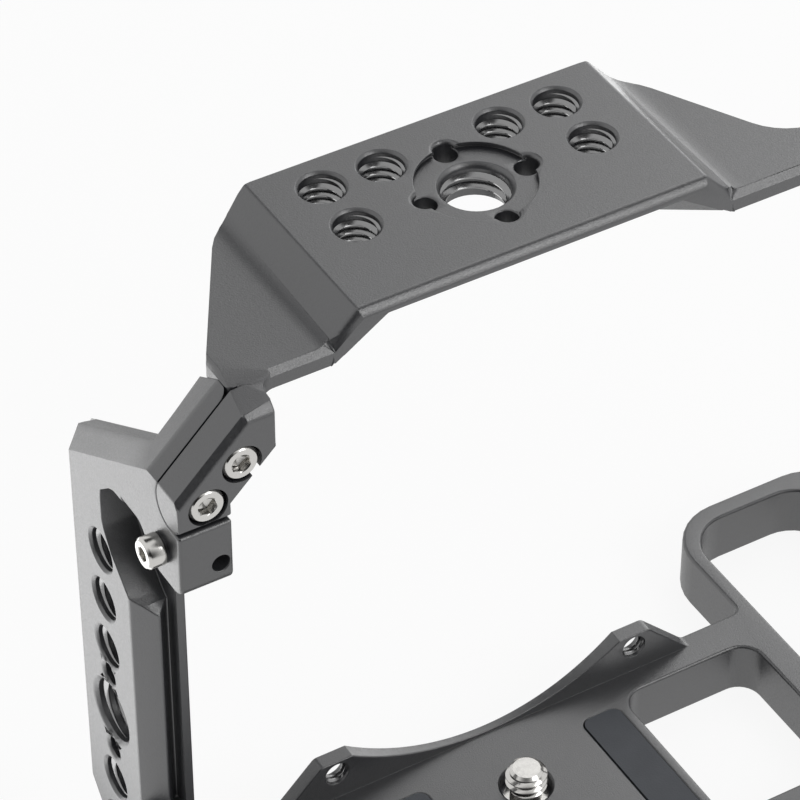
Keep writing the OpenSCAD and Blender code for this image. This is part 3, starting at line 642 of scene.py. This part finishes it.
cut_black = anodised("cut_aluminium", (0.010, 0.010, 0.011), (0.018, 0.018, 0.021), 0.16, 0.10, 2.9)
threads = {
    "top_bridge":
        [((x * GRID, BRIDGE_FRONT_ROW, BRIDGE_UNDER), UP, 5.9, SMALL) for x in (-2, -1, 1, 2)]
        + [((x * GRID, BRIDGE_BACK_ROW, BRIDGE_UNDER), UP, 5.9, SMALL) for x in (-2, 2)]
        + [((0, BRIDGE_BACK_ROW, BRIDGE_UNDER), UP, 4.75, LARGE)],
    "left_side_plate":
        [((RAIL_X, RAIL_Y, z), LEFT, 6.1, SMALL) for z in (58.8, 49.6, 40.4, 14.2, 5.0)]
        + [((RAIL_X, RAIL_Y, 27.7), LEFT, 5.9, LARGE)],
    "base_plate":
        [((-36, y, 0), DOWN, 8.6, SMALL) for y in (FLOOR_FRONT_ROW, FLOOR_BACK_ROW)]
        + [((-26.2, FLOOR_FRONT_ROW, 0), DOWN, 8.4, LARGE)]
        + [((LENS_X + side * EAR_REACH, 14.2, 4.9), BACK, 2.4, EAR) for side in (-1, 1)],
}
for node, holes in threads.items():
    mesh = bmesh.new()
    for place, axis, length, size in holes:
        thread_ridge(mesh, frame_along(place, axis), 0.0, length, **size)
    round_piece(mesh, node + "_threads", "anodised_aluminium", "cage", material=cut_black)
    print(node, "threads:", len(holes))

# %% [markdown]
# ## Socket-head screws
#
# Two stainless cap screws hold the bridge's foot to the side plate, and a third, at the strap lug, turns and
# slides on its own joint. On the real screw the head's rim is chamfered, the socket has a small lead-in,
# and its floor ends in the cone of the drill, which shows as a dark six-sided well. The stack of rings makes
# all of that in one closed piece, so one recipe with a table of sizes serves all three.

# %% Build a cap screw
THREAD_DEPTH, TIP_DEPTH, RUN_IN = 0.55, 0.9, 0.5  # in pitches
CONE_TIP, CONE_DEPTH, LEAD_R, LEAD_DEPTH = 0.04, 0.24, 0.585, 0.05  # shares of the key's width
HEAD_CHAMFER, HEAD_ROUND = 0.15, 0.03  # shares of the head's height
PLAIN_NECK, NECK_STEP = 0.3, 0.02
BRIDGE_SCREW = {"head_d": 5.3, "head_h": 2.6, "hex_af": 2.5, "hex_depth": 1.4, "shank_d": 2.9,
                "shank_l": 7.7, "pitch": 0.5}
LUG_SCREW = {"head_d": 4.6, "head_h": 2.6, "hex_af": 2.0, "hex_depth": 1.2, "shank_d": 2.4,
             "shank_l": 9.9, "pitch": 0.45}


def cap_screw(node, body, place, axis, twist, head_d, head_h, hex_af, hex_depth, shank_d, shank_l, pitch):
    """A cap screw whose head top lies at place, with axis pointing out of the head."""
    mesh = bmesh.new()
    to_place = frame_along(place, axis)
    head_r, shank_r = head_d / 2, shank_d / 2
    root_r = shank_r - pitch * THREAD_DEPTH
    chamfer, edge = head_h * HEAD_CHAMFER, head_h * HEAD_ROUND
    stack(mesh, [
        hex_ring(hex_af * CONE_TIP, -hex_depth - hex_af * CONE_DEPTH, twist),
        hex_ring(hex_af, -hex_depth, twist),
        hex_ring(hex_af, -hex_af * LEAD_DEPTH, twist),
        circle_ring(hex_af * LEAD_R, 0),
        circle_ring(head_r - chamfer, 0),
        circle_ring(head_r - edge, -chamfer + edge),
        circle_ring(head_r, -chamfer - edge),
        circle_ring(head_r, -head_h + edge * 2),
        circle_ring(head_r - edge * 2, -head_h),
        circle_ring(shank_r, -head_h),
        circle_ring(shank_r - NECK_STEP, -head_h - PLAIN_NECK),
        circle_ring(root_r, -head_h - PLAIN_NECK - pitch * RUN_IN),
        circle_ring(root_r, -head_h - shank_l + pitch * 0.3),
        circle_ring(shank_r - pitch * TIP_DEPTH, -head_h - shank_l)], to_place)
    thread_ridge(mesh, to_place, -head_h - shank_l, shank_l - 0.4, root_r, shank_r, pitch, steps=24)
    round_piece(mesh, node + "_turned", "stainless_steel", body, (node,))


cap_screw("bridge_screw_lower", "cage", (-52.51, -4.15, 83.57), BACK, 0.3, **BRIDGE_SCREW)
cap_screw("bridge_screw_upper", "cage", (-47.42, -4.15, 88.66), BACK, 0.12, **BRIDGE_SCREW)
cap_screw("lug_screw", "lug_screw_body", (-59.95, 0.5, 75.0), LEFT, 0.2, **LUG_SCREW)

# %% [markdown]
# ## The camera screw
#
# The screw that holds the camera stands up through the floor. Its thread ends in a chamfered, flat tip, and a
# coin slot in the head is used from below. The slot is cut with a boolean before the thread is made, because
# a boolean wants one closed solid and would drop a ridge that only pushes into the shaft. So the thread is a
# piece of its own that turns and rises with the screw.

# %% Build the camera screw
CAMERA_ROOT, CAMERA_CREST, CAMERA_NECK, CAMERA_HEAD = 2.52, 3.1, 2.4, 5.8  # radii
CAMERA_TIP, CAMERA_SHOULDER, CAMERA_UNDER = 3.5, -2.6, -4.4  # heights
TIP_CHAMFER, TOP_CHAMFER, UNDER_CHAMFER = 0.45, 0.15, 0.3
COIN_SLOT = (20, 1.6, 0.9)  # length, right through the head, width and depth


def cut_slot(screw):
    """Cut the coin slot into the underside of the head, and keep the result as the screw's mesh."""
    long, wide, deep = COIN_SLOT
    cutter_mesh = bmesh.new()
    bmesh.ops.create_cube(cutter_mesh, size=1.0, matrix=Matrix.Translation((0, 0, CAMERA_UNDER * MM))
                          @ Matrix.Diagonal((long * MM, wide * MM, deep * 2 * MM, 1)))
    cutter_data = bpy.data.meshes.new("slot_cutter")
    cutter_mesh.to_mesh(cutter_data)
    cutter_mesh.free()
    cutter = bpy.data.objects.new("slot_cutter", cutter_data)
    bpy.context.scene.collection.objects.link(cutter)
    cut = screw.modifiers.new("coin slot", "BOOLEAN")
    cut.object, cut.solver = cutter, "EXACT"
    bpy.context.view_layer.update()
    slotted = bpy.data.meshes.new_from_object(screw.evaluated_get(bpy.context.evaluated_depsgraph_get()))
    screw.modifiers.clear()
    screw.data = slotted
    bpy.data.objects.remove(cutter)


def camera_screw():
    mesh = bmesh.new()
    to_place = frame_along((0, 0, 0), UP)
    profile = (
        (CAMERA_ROOT - TIP_CHAMFER, CAMERA_TIP), (CAMERA_ROOT, CAMERA_TIP - TIP_CHAMFER),
        (CAMERA_ROOT, -0.6), (CAMERA_NECK, -0.9), (CAMERA_NECK, CAMERA_SHOULDER),
        (CAMERA_HEAD - TOP_CHAMFER, CAMERA_SHOULDER), (CAMERA_HEAD, CAMERA_SHOULDER - TOP_CHAMFER),
        (CAMERA_HEAD, CAMERA_UNDER + UNDER_CHAMFER), (CAMERA_HEAD - UNDER_CHAMFER, CAMERA_UNDER))
    stack(mesh, [circle_ring(radius, height) for radius, height in profile], to_place)
    screw = round_piece(mesh, "camera_screw_turned", "stainless_steel", "camera_screw_body",
                        ("camera_screw",))
    cut_slot(screw)
    print("camera screw faces:", len(screw.data.polygons))
    wound = bmesh.new()
    thread_ridge(wound, to_place, -1.0, 4.7, CAMERA_ROOT, CAMERA_CREST, SMALL["pitch"], steps=48)
    round_piece(wound, "camera_screw_thread", "stainless_steel", "camera_screw_body")


camera_screw()

# %% [markdown]
# ## Flat-head screws
#
# Black countersunk screws join the floor to the two sides and the bridge to the right upright. Their heads
# sit flush, so only the hexagon socket and the thin rim show. They could be placed one by one like the cap
# screws, but each one takes its place and its size from the box of the CAD screw that it replaces.

# %% Build the flat-head screws
FLAT_KEY, FLAT_SOCKET, FLAT_LEAD, FLAT_SHANK, FLAT_PITCH = 2.0, 1.1, 0.12, 2.9, 0.5
FLAT_RIM, CONE_END = 0.1, 0.1
BRIDGE_LEVEL = 50


def flat_screw(node, place, axis, head_d, length):
    mesh = bmesh.new()
    to_place = frame_along(place, axis)
    head_r, shank_r = head_d / 2, FLAT_SHANK / 2
    root_r = shank_r - FLAT_PITCH * THREAD_DEPTH
    neck = (head_d - FLAT_SHANK) / 2 + CONE_END
    stack(mesh, [
        hex_ring(FLAT_KEY * CONE_TIP, -FLAT_SOCKET - FLAT_KEY * 0.2),
        hex_ring(FLAT_KEY, -FLAT_SOCKET),
        hex_ring(FLAT_KEY, -FLAT_LEAD),
        circle_ring(FLAT_KEY * 0.6, 0),
        circle_ring(head_r - FLAT_RIM, 0),
        circle_ring(head_r, -0.8 * FLAT_RIM),
        circle_ring(shank_r, -neck),
        circle_ring(shank_r - NECK_STEP, -neck - PLAIN_NECK),
        circle_ring(root_r, -neck - PLAIN_NECK - FLAT_PITCH * RUN_IN),
        circle_ring(root_r, -length + 0.2),
        circle_ring(shank_r - FLAT_PITCH * TIP_DEPTH, -length)], to_place)
    thread_ridge(mesh, to_place, -length, length - neck - 0.4, root_r, shank_r, FLAT_PITCH, steps=20)
    round_piece(mesh, node + "_turned", "black_steel", "cage", (node,))


flat_nodes = [n for n in frame["nodes"] if "base_screw" in n or "right_bridge_screw" in n]
for node in flat_nodes:
    low, high = (Vector(corner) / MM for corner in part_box(node))
    middle, up = (low + high) / 2, 1 if low.z > BRIDGE_LEVEL else -1
    place = (middle.x, middle.y, high.z if up > 0 else low.z)
    flat_screw(node, place, (0, 0, up), high.x - low.x, high.z - low.z)
print("flat-head screws:", len(flat_nodes))

# %% [markdown]
# ## The stage: floor, lamps and a white room
#
# The product photograph has a seamless white ground. Stronger lamps would bleach the part before the paper
# turned white. So a large pale floor looks mostly plain white to the camera and to reflections, and the rest
# of it is real paper, which keeps the soft shadow. Black metal shows what it mirrors more than its own
# colour, so the room round it does most of the work.

# %% Build the floor
PAPER = 0.92
FLOOR_HALF = 3.0
FLOOR_DROP = 0.0002


def white_ground(name, seen, reflected):
    """Paper that is plain white to the camera, and dimmer to reflections from far behind the camera."""
    material, tree = new_material(name)
    paper = add_node(tree, "BsdfDiffuse", {"Color": (PAPER, PAPER, PAPER, 1)})
    glow = add_node(tree, "Emission", {"Color": (1, 1, 1, 1), "Strength": 1.0})
    across = add_node(tree, "SeparateXYZ", {0: add_node(tree, "TexCoord").outputs["Object"]}).outputs["Y"]
    near = ramp(tree, across, 0.15, reflected, -0.70, -0.25)
    ray = add_node(tree, "LightPath")
    mirror = add_node(tree, "Math", {0: ray.outputs["Is Glossy Ray"], 1: near}, operation="MULTIPLY")
    look = add_node(tree, "Math", {0: ray.outputs["Is Camera Ray"], 1: seen}, operation="MULTIPLY")
    part = add_node(tree, "Math", {0: mirror.outputs[0], 1: look.outputs[0]}, operation="MAXIMUM")
    mix = add_node(tree, "MixShader", {0: part.outputs[0], 1: paper.outputs[0], 2: glow.outputs[0]})
    add_node(tree, "OutputMaterial", {0: mix.outputs[0]})
    return material


floor_mesh = bmesh.new()
bmesh.ops.create_grid(floor_mesh, x_segments=1, y_segments=1, size=FLOOR_HALF)
floor_data = bpy.data.meshes.new("floor")
floor_mesh.to_mesh(floor_data)
floor_mesh.free()
floor_data.materials.append(white_ground("white_floor", 0.90, 0.95))
floor = bpy.data.objects.new("floor", floor_data)
floor.location = (0, 0, cad_box[0][2] - FLOOR_DROP)
bpy.context.scene.collection.objects.link(floor)
print("floor at mm:", round(floor.location.z / MM, 2))

# %% [markdown]
# The room is white to the camera and a little dimmer as a lamp, so that the white background doesn't wash
# out the black. Reflections see a third version of it, in which parts of the studio are dark.
#
# Behind the camera and to its left the studio is dark. The photograph tells this by the chamfer that runs
# down the bridge's foot: it faces that way and is almost black. So the white that reflections see falls off
# towards that side, with a soft border. A second, smaller dark patch lies high on the far side: the bridge's
# bends sweep across it, which draws the two dark lines along its slope. A third one overhead blackens the
# thread flanks.

# %% Light the room
ROOM_LIGHT = 0.55

world = bpy.data.worlds.new("white_room")
bpy.context.scene.world = world
world.use_nodes = True
sky = world.node_tree
sky.nodes.clear()
way = add_node(sky, "TexCoord").outputs["Generated"]


def lit_outside(direction, darkest, border, core):
    """One away from a direction, falling to its darkest inside the core (both as cosines)."""
    towards = add_node(sky, "VectorMath", {0: way, 1: Vector(direction).normalized()},
                       operation="DOT_PRODUCT")
    return ramp(sky, towards.outputs["Value"], 1.0, darkest, border, core)


behind = lit_outside((-0.55, -0.80, 0.20), 0.02, 0.62, 0.90)
between = lit_outside((-0.03, 0.57, 0.82), 0.04, 0.935, 0.988)
overhead = lit_outside((0.375, -0.30, 0.88), 0.10, 0.90, 0.97)
two_dark = add_node(sky, "Math", {0: behind, 1: between}, operation="MULTIPLY")
all_dark = add_node(sky, "Math", {0: two_dark.outputs[0], 1: overhead}, operation="MULTIPLY")

walls = add_node(sky, "Background", {"Color": (1, 1, 1, 1), "Strength": ROOM_LIGHT})
white = add_node(sky, "Background", {"Color": (1, 1, 1, 1), "Strength": 1.0})
mirrored = add_node(sky, "Background", {"Color": (1, 1, 1, 1), "Strength": all_dark.outputs[0]})
eye = add_node(sky, "LightPath")
seen = add_node(sky, "Math", {0: eye.outputs["Is Camera Ray"], 1: eye.outputs["Is Transmission Ray"]},
                operation="MAXIMUM")
plain = add_node(sky, "MixShader", {0: seen.outputs[0], 1: walls.outputs[0], 2: white.outputs[0]})
room = add_node(sky, "MixShader",
                {0: eye.outputs["Is Glossy Ray"], 1: plain.outputs[0], 2: mirrored.outputs[0]})
add_node(sky, "OutputWorld", {0: room.outputs[0]})
print("world nodes:", len(sky.nodes))

# %% [markdown]
# The lamps are softboxes, each placed where one set of faces mirrors it. The rear one draws the bright line
# along the bridge's rear chamfer, the top one lifts the right half of the flat, and the low one on the right
# is mirrored by the slopes that lean that way. Two light tables lie on the floor, because steep faces that
# are seen from above mirror the floor: the left one gives the rail's upright faces their pale sheen. A
# lamp's brightness is its power over its area, so the power follows from the brightness that is wanted.

# %% Hang the softboxes
def softbox(name, place, target, size, brightness):
    data = bpy.data.lights.new(name, "AREA")
    data.shape = "RECTANGLE"
    data.size, data.size_y = size
    data.energy = brightness * math.pi * size[0] * size[1]
    obj = bpy.data.objects.new(name, data)
    obj.location = place
    aim = Vector(target) - Vector(place)
    obj.rotation_euler = aim.to_track_quat("-Z", "Y").to_euler()
    obj.visible_camera = False
    bpy.context.scene.collection.objects.link(obj)
    print(name, "watts:", round(data.energy, 2))


MIDDLE = (0, 0, 0.05)
TABLE_TOP = -0.0088
softbox("softbox_rear", (0.36, -0.62, 0.60), MIDDLE, (0.45, 0.45), 3.2)
softbox("softbox_top", (0.68, 0.52, 0.86), MIDDLE, (0.5, 0.9), 1.35)
softbox("light_table_left", (-0.180, 0.18, TABLE_TOP), (-0.180, 0.18, 1.0), (0.23, 0.34), 1.65)
softbox("light_table_right", (0.27, 0.19, TABLE_TOP), (0.27, 0.19, 1.0), (0.20, 0.26), 2.6)
softbox("softbox_right", (0.80, 0.55, 0.17), MIDDLE, (0.35, 0.30), 2.2)
bpy.context.scene.view_settings.view_transform = "Standard"
